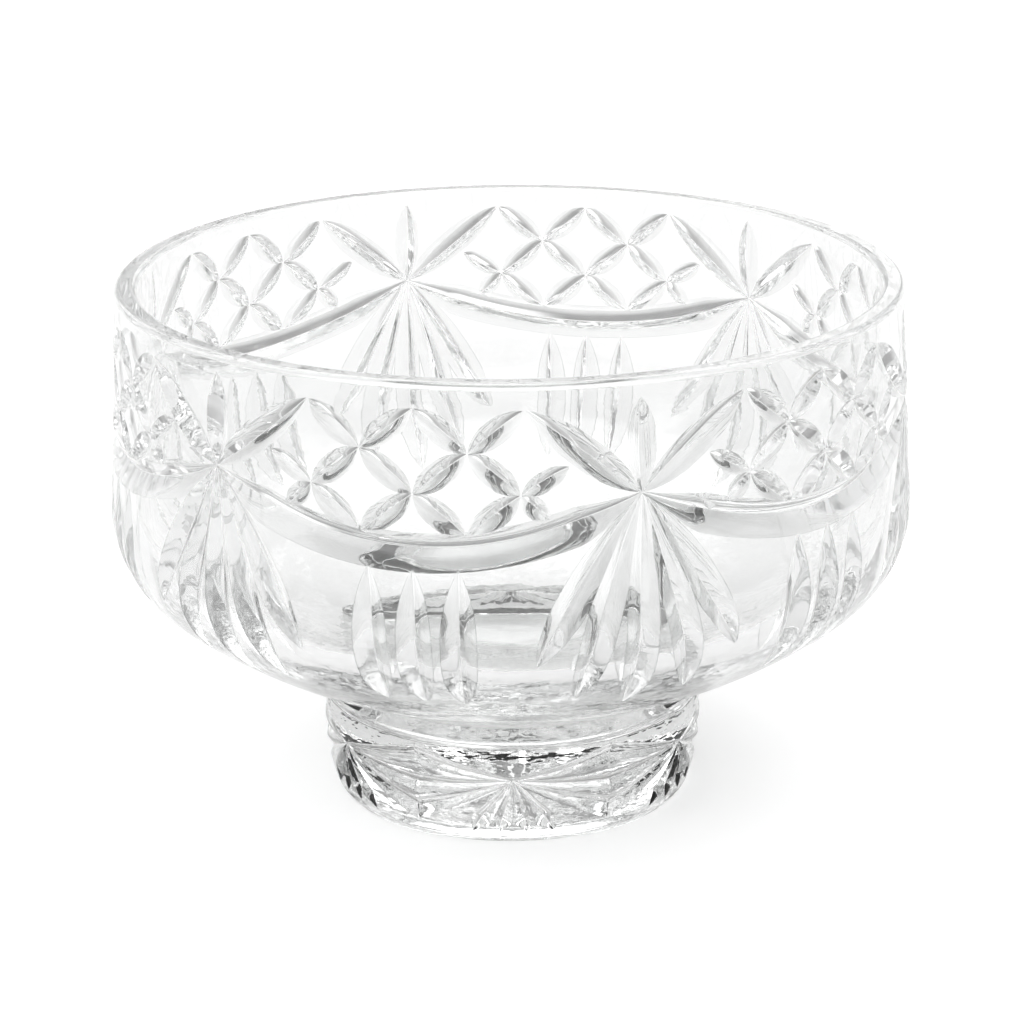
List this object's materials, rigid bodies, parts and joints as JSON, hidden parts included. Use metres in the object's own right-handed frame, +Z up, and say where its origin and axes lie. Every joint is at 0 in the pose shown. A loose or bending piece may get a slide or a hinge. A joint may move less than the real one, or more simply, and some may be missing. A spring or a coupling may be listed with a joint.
{
  "type": "punch bowl",
  "caption": "Round clear crystal serving bowl with a near-upright wall, rounded shoulder and short solid pedestal foot, cut with stars, swags and diamonds.",
  "frame": {"origin": "on the bowl's axis, on the plane it rests on", "axes": "+Z up along the bowl's axis; -Y is the front, seen in the picture; +X to the right seen from the front"},
  "size_m": [0.255, 0.255, 0.1696],
  "materials": {
    "bowl_crystal": "clear polished lead crystal with V-cut pattern",
    "joint_crystal": "clear fire-polished crystal",
    "foot_crystal": "clear polished lead crystal with V-cut rays"
  },
  "bodies": {
    "root": {"bowl": "bowl_crystal", "joining_disc": "joint_crystal", "foot": "foot_crystal"}
  },
  "joints": []
}
